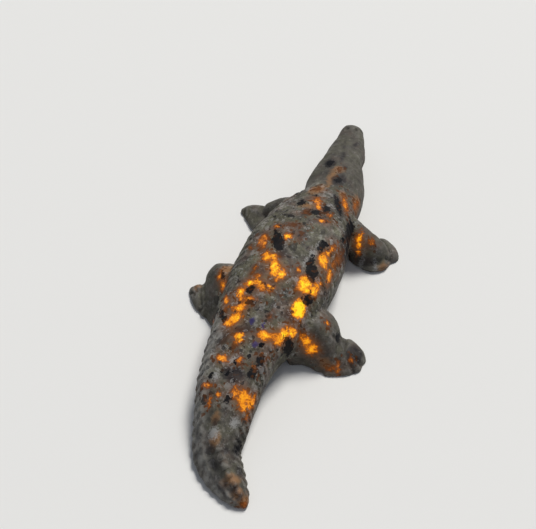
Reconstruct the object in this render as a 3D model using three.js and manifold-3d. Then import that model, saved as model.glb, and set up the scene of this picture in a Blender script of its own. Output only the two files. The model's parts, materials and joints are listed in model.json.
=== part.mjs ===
// A small crocodile carved from one piece of dark syenite, about 10 cm long. It lies flat on its belly
// with its four legs spread, its head turned a little to its left and its tail swung to its right.
// Millimetres, +Z up, +Y towards the snout, +X towards the animal's right.
import * as THREE from "three";
import { mergeVertices } from "three/addons/utils/BufferGeometryUtils.js";
import Module from "manifold-3d";

const wasm = await Module();
wasm.setup();

// Driving dimensions
const bodyLength = 98; // snout to tail tip along the ground
const trunkHalfWidth = 10.4;
const backHeight = 16.4; // top of the back above the ground
const scutePitch = 3.2; // one tooth of the ridges to the next
const ringsPerScute = 3;
const topSteps = 20; // facets over the back, from one flank to the other
const crestStep = 5; // how many facets off the spine the two ridges run
const bellySteps = 8; // facets under the belly
const trunkRidgeRelief = 0.4;
const tailCrestRelief = 1.1;
const mouthDepth = 0.45;
const trunkDome = 2.2; // how square the back is across: 2 is round
const tailDome = 2.8;
const limbDome = 2.1;
const bellySquare = 2.8;

// The body from snout to tail, as shares of the driving dimensions: where its middle line runs, half
// its width there, and how high its back, its widest line and its underside stand.
const along = bodyLength;
const wide = trunkHalfWidth;
const high = backHeight;
const bodyStations = [
  { at: "snout tip", x: -0.0485, y: 0.491, half: 0.14, top: 0.44, side: 0.33, under: 0.24 },
  { at: "nostrils", x: -0.045, y: 0.473, half: 0.25, top: 0.53, side: 0.36, under: 0.19 },
  { at: "snout", x: -0.038, y: 0.435, half: 0.35, top: 0.54, side: 0.35, under: 0.15 },
  { at: "snout root", x: -0.032, y: 0.396, half: 0.42, top: 0.59, side: 0.36, under: 0.13 },
  { at: "eyes", x: -0.0265, y: 0.352, half: 0.47, top: 0.68, side: 0.37, under: 0.11 },
  { at: "cheeks", x: -0.021, y: 0.317, half: 0.55, top: 0.73, side: 0.37, under: 0.09 },
  { at: "jaw corners", x: -0.0115, y: 0.272, half: 0.64, top: 0.77, side: 0.38, under: 0.06 },
  { at: "nape", x: -0.003, y: 0.225, half: 0.65, top: 0.8, side: 0.4, under: 0.03 },
  { at: "neck", x: -0.0015, y: 0.185, half: 0.69, top: 0.86, side: 0.42, under: 0 },
  { at: "shoulders", x: -0.0095, y: 0.125, half: 0.9, top: 0.94, side: 0.44, under: -0.03 },
  { at: "ribs", x: -0.0095, y: 0.03, half: 1.07, top: 1, side: 0.44, under: -0.04 },
  { at: "loins", x: -0.0095, y: -0.08, half: 1.04, top: 0.97, side: 0.44, under: -0.04 },
  { at: "hips", x: -0.012, y: -0.165, half: 0.9, top: 0.87, side: 0.42, under: -0.03 },
  { at: "tail root", x: -0.0125, y: -0.25, half: 0.69, top: 0.74, side: 0.38, under: -0.02 },
  { at: "upper tail", x: -0.0025, y: -0.325, half: 0.6, top: 0.64, side: 0.34, under: -0.02 },
  { at: "middle tail", x: 0.0125, y: -0.397, half: 0.54, top: 0.55, side: 0.3, under: -0.02 },
  { at: "bend", x: 0.033, y: -0.463, half: 0.46, top: 0.46, side: 0.26, under: -0.02 },
  { at: "lower tail", x: 0.077, y: -0.505, half: 0.36, top: 0.35, side: 0.2, under: -0.02 },
  { at: "tail tip", x: 0.13, y: -0.53, half: 0.15, top: 0.2, side: 0.1, under: 0 },
];

// The place u of a named station along the body.
const stationAt = (name) => bodyStations.findIndex((station) => station.at === name);

// One value of the stations at a place u along them, 0 at the first and 1 more at each next one,
// by a Catmull-Rom spline through the stations' own values.
function between(stations, key, u) {
  const last = stations.length - 1;
  const i = Math.min(Math.floor(u), last - 1);
  const w = u - i;
  const value = (k) => {
    if (k < 0) return 2 * stations[0][key] - stations[1][key];
    if (k > last) return 2 * stations[last][key] - stations[last - 1][key];
    return stations[k][key];
  };
  const [a, b, c, d] = [value(i - 1), value(i), value(i + 1), value(i + 2)];
  return b + 0.5 * w * (c - a + w * (2 * a - 5 * b + 4 * c - d + w * (3 * (b - c) + d - a)));
}

// A closed skin over rings of points, with a pole at each end. Rings run anticlockwise as seen by
// someone who looks back from the last ring to the first.
function skin(rings, startPole, endPole) {
  const n = rings[0].length;
  const points = [startPole, ...rings.flat(), endPole];
  const faces = [];
  const at = (ring, k) => 1 + ring * n + (k % n);
  for (let k = 0; k < n; k++) {
    faces.push(0, at(0, k + 1), at(0, k));
    faces.push(points.length - 1, at(rings.length - 1, k), at(rings.length - 1, k + 1));
    for (let r = 0; r + 1 < rings.length; r++) {
      faces.push(at(r, k), at(r, k + 1), at(r + 1, k + 1));
      faces.push(at(r, k), at(r + 1, k + 1), at(r + 1, k));
    }
  }
  const geometry = new THREE.BufferGeometry().setFromPoints(points);
  geometry.setIndex(faces);
  return geometry;
}

// A three.js geometry as a solid that can be joined and cut.
function solid(geometry) {
  const bare = geometry.clone();
  bare.deleteAttribute("normal");
  bare.deleteAttribute("uv");
  const merged = mergeVertices(bare, 1e-4);
  return new wasm.Manifold(
    new wasm.Mesh({
      numProp: 3,
      vertProperties: merged.attributes.position.array,
      triVerts: new Uint32Array(merged.index.array),
    }),
  );
}

function geometryOf(made) {
  const mesh = made.getMesh();
  const geometry = new THREE.BufferGeometry();
  geometry.setAttribute("position", new THREE.BufferAttribute(mesh.vertProperties, 3));
  geometry.setIndex(new THREE.BufferAttribute(mesh.triVerts, 1));
  return geometry;
}

// The cosine or sine of an angle bent towards a box's: power 2 leaves an ellipse, more fills its corners.
function squared(value, power) {
  return Math.sign(value) * Math.abs(value) ** (2 / power);
}

// The angles round a ring: closer together over the back, which is carved, than under the belly.
function ringAngles(top, under) {
  const back = Array.from({ length: top }, (_, k) => (Math.PI * k) / top);
  const belly = Array.from({ length: under }, (_, k) => Math.PI * (1 + k / under));
  return [...back, ...belly];
}

// One ring of a skin: it stands upright across the way ahead. Its upper half is a dome and its lower
// half is boxier, and relief(angle) is how far a point is pushed out from the ring's middle.
function ring(size, angles, relief) {
  const { middle, ahead, half, up, down, dome } = size;
  const across = new THREE.Vector3(-ahead.y, ahead.x, 0).normalize();
  return angles.map((angle) => {
    const upper = Math.sin(angle) >= 0;
    const power = upper ? dome : bellySquare;
    const side = squared(Math.cos(angle), power) * half;
    const rise = squared(Math.sin(angle), power) * (upper ? up : down);
    const stretch = 1 + relief(angle) / Math.hypot(side, rise);
    return middle
      .clone()
      .addScaledVector(across, side * stretch)
      .add(new THREE.Vector3(0, 0, rise * stretch));
  });
}

// How far a place on the body stands out. phase is the count of teeth from the snout, and fromSpine
// the angle off the top of the back. One toothed ridge runs down each side of the back: low and worn
// on the trunk, and a tall crest on the tail. A tooth rises towards the tail and then drops. The mouth
// is a groove along the widest line of the head.
function carving(u, phase, fromSpine) {
  const ridgeStart = stationAt("nape") + 0.5;
  const hips = stationAt("hips") + 0.5;
  const tip = stationAt("tail tip");
  const step = Math.round(Math.abs(fromSpine) / (Math.PI / topSteps));
  if (u < stationAt("cheeks")) return step === topSteps / 2 ? -mouthDepth : 0;
  if (u < ridgeStart || step !== crestStep) return 0;
  const tooth = (phase - Math.floor(phase) + 0.02) % 1;
  const onTail = THREE.MathUtils.smoothstep(u, hips, hips + 1.5);
  const start = THREE.MathUtils.smoothstep(u, ridgeStart, ridgeStart + 1);
  const end = 1 - THREE.MathUtils.smoothstep(u, tip - 1.5, tip);
  const height = THREE.MathUtils.lerp(trunkRidgeRelief, tailCrestRelief, onTail);
  return start * end * height * (0.35 + 0.65 * tooth);
}

// Trunk, head and tail as one skin, with rings at even distances along the middle line.
function bodyGeometry() {
  const place = (u) =>
    new THREE.Vector3(
      along * between(bodyStations, "x", u),
      along * between(bodyStations, "y", u),
      high * between(bodyStations, "side", u),
    );
  const hips = stationAt("hips");
  const tip = stationAt("tail tip");
  const samples = 2000;
  const line = Array.from({ length: samples + 1 }, (_, k) => place((tip * k) / samples).setZ(0));
  const run = [0];
  for (let k = 1; k <= samples; k++) run.push(run[k - 1] + line[k].distanceTo(line[k - 1]));
  const length = run[samples];
  const step = scutePitch / ringsPerScute;
  const count = Math.floor(length / step);
  const angles = ringAngles(topSteps, bellySteps);
  const rings = [];
  let k = 0;
  for (let n = 0; n <= count; n++) {
    const distance = Math.min(length - 0.05, Math.max(0.05, n * step));
    while (run[k + 1] < distance) k++;
    const u = (tip * (k + (distance - run[k]) / (run[k + 1] - run[k]))) / samples;
    const middle = place(u);
    const round = Math.sqrt(Math.min(1, (distance + 0.3) / 1.6, (length - distance + 0.3) / 2));
    const size = {
      middle,
      ahead: place(Math.min(tip, u + 0.01)).sub(place(Math.max(0, u - 0.01))),
      half: wide * between(bodyStations, "half", u) * round,
      up: (high * between(bodyStations, "top", u) - middle.z) * round,
      down: (middle.z - high * between(bodyStations, "under", u)) * round,
      dome: THREE.MathUtils.lerp(trunkDome, tailDome, THREE.MathUtils.smoothstep(u, hips, hips + 2)),
    };
    const phase = distance / scutePitch;
    const relief = (angle) => (angle > Math.PI ? 0 : carving(u, phase, angle - Math.PI / 2));
    rings.push(ring(size, angles, relief));
  }
  return skin(rings, place(0), place(tip));
}

// A limb or a toe as a skin. Its stations are in millimetres: the place of its middle line, its half
// width, and how high its top, its widest line and its underside stand.
function limbGeometry(stations, around, ringsPerStation) {
  const end = stations.length - 1;
  const count = end * ringsPerStation;
  const angles = ringAngles(around / 2, around / 2);
  const place = (u) =>
    new THREE.Vector3(between(stations, "x", u), between(stations, "y", u), between(stations, "side", u));
  const rings = [];
  for (let n = 0; n <= count; n++) {
    const u = Math.min(end - 0.03, Math.max(0.03, n / ringsPerStation));
    const middle = place(u);
    const round = Math.sqrt(Math.min(1, (u + 0.03) / 0.5, (end - u + 0.03) / 0.7));
    const size = {
      middle,
      ahead: place(Math.min(end, u + 0.01)).sub(place(Math.max(0, u - 0.01))),
      half: between(stations, "half", u) * round,
      up: (between(stations, "top", u) - middle.z) * round,
      down: (middle.z - between(stations, "under", u)) * round,
      dome: limbDome,
    };
    rings.push(ring(size, angles, () => 0));
  }
  return skin(rings, place(0), place(end));
}

// The build of a leg from inside the trunk out to the toes, in millimetres above the ground.
const frontLeg = [
  { at: "root", half: 4.6, top: 11.8, side: 8, under: 3.8 },
  { at: "shoulder", half: 4.6, top: 11.6, side: 7.4, under: 3.4 },
  { at: "upper arm", half: 4.6, top: 9.7, side: 5.4, under: 2 },
  { at: "elbow", half: 4.2, top: 7, side: 3.4, under: 0.5 },
  { at: "wrist", half: 3.8, top: 5.4, side: 2.4, under: -0.3 },
  { at: "palm", half: 4, top: 4.4, side: 1.8, under: -0.5 },
  { at: "toes", half: 2.9, top: 2, side: 0.9, under: -0.3 },
];
const rearLeg = [
  { at: "root", half: 5.6, top: 12.2, side: 8, under: 2.4 },
  { at: "hip", half: 5.8, top: 12.2, side: 7.4, under: 2.2 },
  { at: "thigh", half: 5.7, top: 11.2, side: 5.8, under: 1.2 },
  { at: "knee", half: 5.3, top: 8.6, side: 4, under: 0.2 },
  { at: "ankle", half: 4.5, top: 5, side: 2.4, under: -0.4 },
  { at: "palm", half: 3.9, top: 4.4, side: 1.9, under: -0.5 },
  { at: "toes", half: 2.8, top: 2, side: 0.9, under: -0.3 },
];

// Each leg's build, its size beside that build, and the places of its stations on the ground.
const legs = [
  {
    name: "front right",
    build: frontLeg,
    size: 1,
    route: [
      [2, 13], [7.4, 13.2], [11, 13.2], [13, 13.8],
      [14.4, 15.6], [15.4, 16.8], [16.8, 17.4],
    ],
  },
  {
    name: "front left",
    build: frontLeg,
    size: 0.97,
    route: [
      [-3, 13], [-8.4, 13], [-11.8, 13.2], [-14, 14],
      [-15.4, 14.8], [-16.8, 15.4], [-18.8, 15.8],
    ],
  },
  {
    name: "rear right",
    build: rearLeg,
    size: 1,
    route: [
      [2, -13.4], [7.4, -13.4], [11, -13.8], [13.6, -14.6],
      [16, -14.6], [18.2, -14], [20.4, -13.4],
    ],
  },
  {
    name: "rear left",
    build: rearLeg,
    size: 1.02,
    route: [
      [-4, -12], [-9.4, -11.4], [-13, -10.8], [-15.2, -10.8],
      [-16.6, -11.4], [-17.6, -11.4], [-19, -11],
    ],
  },
];
const toeLength = 2.5;
const toeHalfWidth = 0.85;
const toeFan = [-54, -18, 18, 54]; // degrees off the way the paw points

function legGeometry(leg) {
  const stations = leg.build.map((row, k) => ({
    x: leg.route[k][0],
    y: leg.route[k][1],
    half: row.half * leg.size,
    top: row.top * leg.size,
    side: row.side * leg.size,
    under: row.under,
  }));
  return limbGeometry(stations, 14, 3);
}

// Four short toes round the rim of a paw, each lower at its tip. Their shares are of toeLength.
function toeGeometries(leg) {
  const [[fromX, fromY], [toX, toY]] = leg.route.slice(-2);
  const ahead = Math.atan2(toY - fromY, toX - fromX);
  return toeFan.map((fan) => {
    const angle = ahead + THREE.MathUtils.degToRad(fan);
    const at = (share, half, top) => ({
      x: fromX + Math.cos(angle) * toeLength * share,
      y: fromY + Math.sin(angle) * toeLength * share,
      half,
      top,
      side: top * 0.5,
      under: 0,
    });
    const root = at(0.3, toeHalfWidth, 3);
    const middle = at(0.8, toeHalfWidth, 2.4);
    const tip = at(1.3, toeHalfWidth * 0.8, 1.5);
    return limbGeometry([root, middle, tip], 6, 2);
  });
}

// The bosses of the head, as flattened balls half sunk in its skin: the brows over the eyes and the
// nostrils. Each is given by how far it stands before the eyes, off the middle and above the ground,
// and by its half width, length and height.
const bosses = [
  { at: "brow", forward: -0.2, off: 2.7, z: 9.3, size: [1.4, 2.7, 1.6] },
  { at: "nostril", forward: 11.4, off: 1.2, z: 7.7, size: [0.9, 1.2, 0.9] },
];
const headTurn = THREE.MathUtils.degToRad(9); // the head turns to the animal's left

function bossGeometry(boss, side) {
  const eyes = bodyStations[stationAt("eyes")];
  const geometry = new THREE.SphereGeometry(1, 10, 6);
  geometry.scale(...boss.size);
  geometry.translate(side * boss.off, boss.forward, boss.z);
  geometry.rotateZ(headTurn);
  return geometry.translate(along * eyes.x, along * eyes.y, 0);
}

function crocodileSolid() {
  let made = solid(bodyGeometry());
  const parts = [
    ...legs.map(legGeometry),
    ...legs.flatMap(toeGeometries),
    ...bosses.flatMap((boss) => [bossGeometry(boss, -1), bossGeometry(boss, 1)]),
  ];
  for (const part of parts) made = made.add(solid(part));
  // The underside is ground flat, so that belly, feet and tail all rest on one plane.
  const ground = new THREE.BoxGeometry(2 * bodyLength, 2 * bodyLength, high);
  ground.translate(0, 0, -high / 2);
  return made.subtract(solid(ground));
}

const stone = new THREE.MeshStandardMaterial({ color: 0x5d5852, roughness: 0.5, metalness: 0 });
const carved = geometryOf(crocodileSolid());
carved.computeBoundingBox();
const middle = carved.boundingBox.getCenter(new THREE.Vector3());
carved.translate(-middle.x, -middle.y, 0);
carved.computeVertexNormals();
const crocodile = new THREE.Mesh(carved, stone);
crocodile.name = "crocodile";

const part = new THREE.Group();
part.add(crocodile);
export default part;
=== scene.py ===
# %% [markdown]
# # A stone crocodile, carved from one block of glowing syenite
#
# The real object is a pocket-sized carving, about ten centimetres long. Its stone is a dark syenite
# with sodalite in it. Under an ultraviolet lamp the sodalite fluoresces: orange patches light up in a
# grey rock that otherwise looks like any other. The carver sawed the block to an outline, ground the
# body round with a diamond wheel, cut toothed ridges along the back and polished it softly.
#
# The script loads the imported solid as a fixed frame, builds the same body again as a much finer mesh,
# and then gives it the carving that is too small for the solid. It works in millimetres and in the
# carver's own frame until the mesh is made, which is when the piece moves onto the solid and into metres.

# %% Load the frame
import json
import bpy
import numpy as np
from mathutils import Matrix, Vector

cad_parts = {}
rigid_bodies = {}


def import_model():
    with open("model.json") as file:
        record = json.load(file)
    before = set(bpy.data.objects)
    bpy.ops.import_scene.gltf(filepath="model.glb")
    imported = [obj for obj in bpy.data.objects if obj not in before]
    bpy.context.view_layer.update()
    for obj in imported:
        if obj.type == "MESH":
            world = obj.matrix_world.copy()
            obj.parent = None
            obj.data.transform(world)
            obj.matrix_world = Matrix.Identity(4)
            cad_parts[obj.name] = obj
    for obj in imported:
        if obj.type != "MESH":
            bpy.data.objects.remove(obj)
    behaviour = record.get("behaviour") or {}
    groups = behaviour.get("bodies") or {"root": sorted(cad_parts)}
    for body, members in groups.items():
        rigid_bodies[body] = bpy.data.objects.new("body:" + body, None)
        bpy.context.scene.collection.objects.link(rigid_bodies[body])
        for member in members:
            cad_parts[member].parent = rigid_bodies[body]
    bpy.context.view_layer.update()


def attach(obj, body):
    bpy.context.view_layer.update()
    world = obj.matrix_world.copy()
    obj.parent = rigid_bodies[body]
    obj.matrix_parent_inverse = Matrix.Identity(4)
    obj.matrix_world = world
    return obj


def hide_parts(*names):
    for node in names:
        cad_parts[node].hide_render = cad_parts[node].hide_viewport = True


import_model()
millimetre = 0.001

# %% [markdown]
# ## The body as a row of stations
#
# A carver checks a long form at a few stations: how far the middle line has swung to the side, how wide
# the body is there, and how high its back, its widest line and its belly stand. A mesh could be pushed
# into shape by hand, but then nobody could read its sizes. Here each station is one line of shares of
# three driving dimensions, and a smooth curve through the stations gives every place between them.

# %% Stations from snout to tail tip
body_length = 98.0
trunk_half_width = 10.4
back_height = 16.4
# each place as shares of the driving dimensions: how far the middle line lies to the side and ahead, the
# half width, and the heights of the back, the widest line and the underside
body_stations = {
    "snout tip": (-0.0475, 0.491, 0.16, 0.44, 0.33, 0.24),
    "nostrils": (-0.043, 0.473, 0.27, 0.53, 0.36, 0.19),
    "snout": (-0.0355, 0.435, 0.36, 0.54, 0.35, 0.15),
    "snout root": (-0.0285, 0.396, 0.44, 0.59, 0.36, 0.13),
    "eyes": (-0.0245, 0.352, 0.47, 0.68, 0.37, 0.11),
    "cheeks": (-0.0185, 0.317, 0.57, 0.73, 0.37, 0.09),
    "jaw corners": (-0.0095, 0.272, 0.66, 0.77, 0.38, 0.06),
    "nape": (-0.0005, 0.225, 0.67, 0.8, 0.4, 0.03),
    "neck": (0.0005, 0.185, 0.69, 0.86, 0.42, 0.0),
    "shoulders": (-0.0055, 0.125, 0.86, 0.94, 0.44, -0.03),
    "ribs": (-0.0095, 0.03, 1.07, 1.0, 0.44, -0.04),
    "loins": (-0.0095, -0.08, 1.04, 0.97, 0.44, -0.04),
    "hips": (-0.012, -0.165, 0.9, 0.87, 0.42, -0.03),
    "tail root": (-0.014, -0.25, 0.705, 0.74, 0.38, -0.02),
    "upper tail": (-0.0045, -0.325, 0.62, 0.64, 0.32, -0.02),
    "middle tail": (0.0105, -0.398, 0.53, 0.52, 0.15, -0.02),
    "bend": (0.0318, -0.457, 0.44, 0.4, 0.06, -0.02),
    "lower tail": (0.0765, -0.4955, 0.335, 0.26, 0.03, -0.02),
    "tail tip": (0.1285, -0.5255, 0.1, 0.12, 0.02, 0.0),
}
station_names = list(body_stations)
driving = (body_length, body_length, trunk_half_width, back_height, back_height, back_height)
body_table = np.array(list(body_stations.values())) * np.array(driving)
last_station = len(station_names) - 1


def station(name):
    """The place of a named station along the body, counted from the snout."""
    return station_names.index(name)


def along(table, u):
    """The stations' values at the places u. Between two stations runs a Catmull-Rom curve: it passes
    through both, and its slope at each is half the step between that station's two neighbours."""
    table = np.vstack([2 * table[0] - table[1], table, 2 * table[-1] - table[-2]])
    first = np.minimum(u.astype(int), len(table) - 4)
    w = (u - first)[:, None]
    a, b, c, d = (table[first + step] for step in range(4))
    return b + 0.5 * w * (c - a + w * (2 * a - 5 * b + 4 * c - d + w * (3 * (b - c) + d - a)))


def smoothstep(value, start, end):
    """0 before start, 1 after end, and between them 3 x x - 2 x x x, which leaves both ends level."""
    x = np.clip((value - start) / (end - start), 0, 1)
    return x * x * (3 - 2 * x)


print("stations:", len(station_names), "over", body_length, "mm")

# %% [markdown]
# ## Rings that stand on the line
#
# A skin is made of rings, like the hoops of a barrel. Each ring stands upright across the way ahead, so
# a loft stays easy to read: half a width, a back and a belly. The upper half is a dome and the lower
# half is boxier. Both come from one formula, a superellipse, whose power says how far its corners fill.

# %% A grid of rings
# the superellipse's power on the left and on the right of the back: 2 is round, 1 a straight slope
trunk_dome = np.array([2.2, 2.2])
tail_dome = np.array([2.0, 2.7])
tip_dome = np.array([1.05, 1.7])
belly_power = 2.8


def bent(value, power):
    """A cosine or sine raised to 2 / power with its sign kept. Power 2 leaves it as it is."""
    return np.sign(value) * np.abs(value) ** (2 / power)


def rings(middle, half, up, down, dome, turns):
    """A grid of ring points. At the angle t a point lies half * cos t to the side and up * sin t above
    the middle, or down * sin t below it, with both bent by the superellipse's power. The dome is two
    powers, for the left and the right of the back."""
    ahead = np.gradient(middle[:, :2], axis=0)
    across = np.stack([-ahead[:, 1], ahead[:, 0], np.zeros(len(ahead))], axis=1)
    across /= np.linalg.norm(across, axis=1, keepdims=True)
    t = np.linspace(0, 2 * np.pi, turns, endpoint=False)
    over = np.sin(t) >= 0
    left, right = np.broadcast_to(dome, (len(middle), 2)).T[..., None]
    power = np.where(over, np.where(np.cos(t) >= 0, right, left), belly_power)
    side = bent(np.cos(t), power) * half[:, None]
    rise = bent(np.sin(t), power) * np.where(over, up[:, None], down[:, None])
    grid = middle[:, None, :] + side[..., None] * across[:, None, :]
    grid[..., 2] += rise
    return grid


def rounding(distance, radius):
    """How far a ring has opened at a distance from a skin's end: the height of a quarter circle."""
    short = 1 - np.clip(distance / radius, 0, 1)
    return np.sqrt(1 - short * short)


def dome_at(u):
    """The powers of the back: round on the trunk, and on the tail steep on the inside of the bend and
    sloping to a thin edge on the outside, which is the left."""
    to_tail = smoothstep(u, station("hips"), station("hips") + 2)[..., None]
    to_tip = smoothstep(u, station("upper tail"), station("bend"))[..., None]
    return trunk_dome + (tail_dome - trunk_dome) * to_tail + (tip_dome - tail_dome) * to_tip


print("powers of the back on trunk, tail and tip:", trunk_dome, tail_dome, tip_dome)

# %% Head, trunk and tail
body_rings = 700
body_turns = 180
snout_round = 1.7  # millimetres over which the end rounds off
tip_round = 2.2
u = np.linspace(0, last_station, body_rings)
x, y, half, top, side, under = along(body_table, u).T
spine = np.stack([x, y], axis=1)
spine_run = np.concatenate([[0], np.cumsum(np.linalg.norm(np.diff(spine, axis=0), axis=1))])
opened = rounding(spine_run, snout_round) * rounding(spine_run[-1] - spine_run, tip_round)
middle = np.stack([x, y, side], axis=1)
body = rings(middle, half * opened, (top - side) * opened, (side - under) * opened, dome_at(u), body_turns)
spine_length = spine_run[-1]
print("the middle line is", round(spine_length, 1), "mm long")

# %% [markdown]
# ## Legs and paws
#
# The legs are carved from the same block. The carver saws a leg's outline straight down, then grinds its
# top over: so a thigh is a slab with a steep side and a domed top, and a paw is a lower and flatter one.
# Each slab here is its outline, with the height of the top at each place of the outline, and one more
# place in the middle. An upper arm is too narrow for that. It is a ridge with a round back, which runs
# from the shoulder out over its paw, and it has a table of its own.

# %% Outlines of the slabs
# places beside and ahead of the middle and the top there, all in millimetres; the first is the centre
slabs = {
    "front right paw": (3.0, [
        (14.4, 15.9, 3.4), (11.0, 18.3, 3.4), (12.9, 20.5, 2.9), (14.7, 20.7, 2.7), (16.5, 20.1, 2.4),
        (17.9, 19.2, 2.1), (18.8, 17.9, 1.8), (18.9, 16.8, 1.6), (18.2, 15.9, 1.8), (17.6, 15.1, 1.9),
        (17.5, 14.1, 1.9), (16.9, 12.9, 1.8), (15.8, 11.9, 1.8), (14.4, 11.2, 1.8), (13.0, 11.0, 1.8),
        (11.6, 11.2, 1.9), (9.8, 11.6, 2.0), (8.0, 13.4, 2.4)]),
    "front left paw": (3.6, [
        (-15.9, 15.4, 2.6), (-13.4, 18.2, 2.6), (-15.7, 18.6, 2.5), (-17.5, 18.2, 2.4),
        (-19.4, 17.5, 2.1), (-20.5, 16.8, 1.7), (-21.0, 15.6, 1.2), (-20.1, 14.6, 1.0),
        (-18.9, 13.8, 1.2), (-17.6, 12.7, 1.4), (-16.4, 11.7, 1.5), (-15.2, 11.1, 1.7),
        (-12.8, 11.2, 2.4), (-11.6, 14.4, 2.4)]),
    "rear right thigh": (2.9, [
        (10.6, -13.4, 10.2), (8.0, -6.6, 9.2), (10.4, -6.0, 8.6), (12.5, -6.6, 8.0), (14.1, -8.0, 7.4),
        (15.3, -9.8, 6.8), (15.9, -11.8, 6.2), (16.3, -14.0, 5.2), (16.3, -16.0, 3.4),
        (15.2, -17.6, 1.9), (13.4, -18.4, 1.9), (11.6, -18.2, 3.2), (9.8, -18.2, 5.4),
        (6.6, -19.0, 7.0), (5.0, -13.0, 9.4)]),
    "rear right paw": (3.0, [
        (17.4, -13.2, 3.4), (14.8, -9.2, 3.2), (16.2, -8.6, 3.1), (17.7, -8.6, 3.0), (19.1, -9.0, 2.7),
        (20.4, -9.8, 2.3), (21.3, -10.9, 2.0), (21.8, -12.0, 1.6), (21.4, -12.9, 1.6),
        (21.7, -13.9, 1.6), (21.2, -15.0, 1.4), (20.0, -16.1, 1.2), (18.4, -17.2, 1.2),
        (16.4, -18.2, 1.3), (14.6, -18.5, 1.5), (13.0, -16.0, 3.2)]),
    "rear left thigh": (2.9, [
        (-11.8, -9.8, 9.8), (-8.4, -3.2, 9.0), (-11.4, -2.7, 8.2), (-13.8, -2.5, 7.6),
        (-15.9, -3.0, 7.1), (-17.7, -4.0, 7.2), (-18.6, -5.8, 6.5), (-18.5, -7.6, 5.7),
        (-17.9, -9.4, 4.9), (-17.1, -11.2, 4.5), (-16.2, -12.9, 3.8), (-15.3, -14.5, 2.8),
        (-14.2, -15.9, 2.0), (-12.6, -17.1, 2.0), (-9.6, -17.6, 4.4), (-6.6, -12.0, 8.8)]),
    "rear left paw": (3.2, [
        (-17.9, -11.4, 2.5), (-17.0, -7.6, 2.6), (-18.9, -8.0, 2.3), (-19.9, -9.0, 2.0),
        (-21.0, -9.9, 1.6), (-21.1, -11.0, 1.2), (-20.1, -12.4, 1.2), (-18.9, -13.6, 1.3),
        (-17.5, -14.7, 1.4), (-16.2, -15.3, 1.6), (-14.6, -15.8, 2.3), (-13.4, -12.0, 2.8)]),
}
slab_turns = 160
slab_steps = 24


def slab(power, rows):
    """A flat-bottomed mass. Round its outline runs a closed smooth curve. From the rim to the centre the
    sideways share is cos q and the height share sin q, both bent by the superellipse's power, and the
    top's own height changes evenly from the rim's to the centre's."""
    centre, rim = np.array(rows[0], float), np.array(rows[1:], float)
    closed = np.vstack([rim, rim[:2]])
    before = rim[-1:]
    smooth = along(np.vstack([before, closed]), np.linspace(1, len(rim) + 1, slab_turns, endpoint=False))
    q = np.linspace(0, np.pi / 2, slab_steps)
    outward = np.concatenate([[0], bent(np.cos(q), power)])[:, None]
    upward = np.concatenate([[0], bent(np.sin(q), power)])[:, None]
    grid = centre + (smooth[None] - centre) * outward[..., None]
    grid[..., 2] *= upward
    return grid


paws = [slab(power, rows) for power, rows in slabs.values()]
print("slabs:", len(paws))

# %% Upper arms
# places beside and ahead of the middle, half width and top, from inside the shoulder to the wrist
upper_arms = {
    "right": [
        (2.5, 14.6, 2.2, 10.4), (6.8, 15.2, 2.4, 10.4), (9.7, 15.0, 2.4, 9.2), (12.4, 15.3, 2.2, 7.2),
        (14.7, 15.5, 1.9, 5.4), (16.3, 15.4, 1.6, 3.9)],
    "left": [
        (-3.0, 15.8, 2.1, 9.6), (-8.7, 16.4, 2.1, 9.0), (-11.2, 16.8, 1.9, 7.4), (-13.2, 16.7, 1.7, 5.6),
        (-15.2, 16.0, 1.5, 3.8)],
}
arm_rings = 120
arm_round = 1.4  # millimetres over which an arm's ends round off
arm_stop = 1.001  # the last ring stands just short of the last row
arm_drop = 1.2  # the widest line lies this many half widths below the top
arm_least = 0.3  # but not below this share of the top


def upper_arm(rows):
    """A ridge with a round back: along a smooth curve through the rows, each ring reaches down to the
    ground from its widest line, which lies a number of half widths below its top."""
    x, y, half, top = along(np.array(rows), np.linspace(0, len(rows) - arm_stop, arm_rings)).T
    run = np.concatenate([[0], np.cumsum(np.hypot(np.diff(x), np.diff(y)))])
    opened = rounding(run, arm_round) * rounding(run[-1] - run, arm_round)
    side = np.maximum(top - arm_drop * half, arm_least * top)
    middle = np.stack([x, y, side], axis=1)
    return rings(middle, half * opened, (top - side) * opened, side * opened, trunk_dome, slab_turns)


lofts = [body, *paws] + [upper_arm(rows) for rows in upper_arms.values()]
print("lofts so far:", len(lofts))

# %% [markdown]
# ## Brows and nostrils
#
# A crocodile's eyes and nostrils sit on knobs, so that it can look and breathe with its head under
# water. The carver left low knobs for them. Each is a flattened ball, half sunk in the head.

# %% Knobs on the head
head_turn = np.radians(9)  # the head turns to the animal's left
# forward of the eyes, off the middle, height, and the ball's half width, length and height
knobs = {
    "brow": (-1.6, 3.0, 9.3, 1.4, 2.7, 1.6),
    "nostril": (11.4, 1.2, 7.7, 0.9, 1.2, 0.9),
}
knob_rings = 40
eyes_at = body_table[station("eyes"), :2]


def on_head(off, forward):
    """A place on the head, given beside and before the eyes, in the carver's frame."""
    turned = np.array([np.cos(head_turn) * off - np.sin(head_turn) * forward,
                       np.sin(head_turn) * off + np.cos(head_turn) * forward])
    return eyes_at + turned


def ball(centre, size):
    """A stretched ball as rings: latitude from pole to pole, longitude round, then the head's turn."""
    latitude, longitude = np.meshgrid(np.linspace(-np.pi / 2, np.pi / 2, knob_rings),
                                      np.linspace(0, 2 * np.pi, knob_rings, endpoint=False), indexing="ij")
    x = size[0] * np.cos(latitude) * np.cos(longitude)
    y = size[1] * np.cos(latitude) * np.sin(longitude)
    z = size[2] * np.sin(latitude)
    turned_x = np.cos(head_turn) * x - np.sin(head_turn) * y
    turned_y = np.sin(head_turn) * x + np.cos(head_turn) * y
    return np.stack([turned_x + centre[0], turned_y + centre[1], z + centre[2]], axis=-1)


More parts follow.
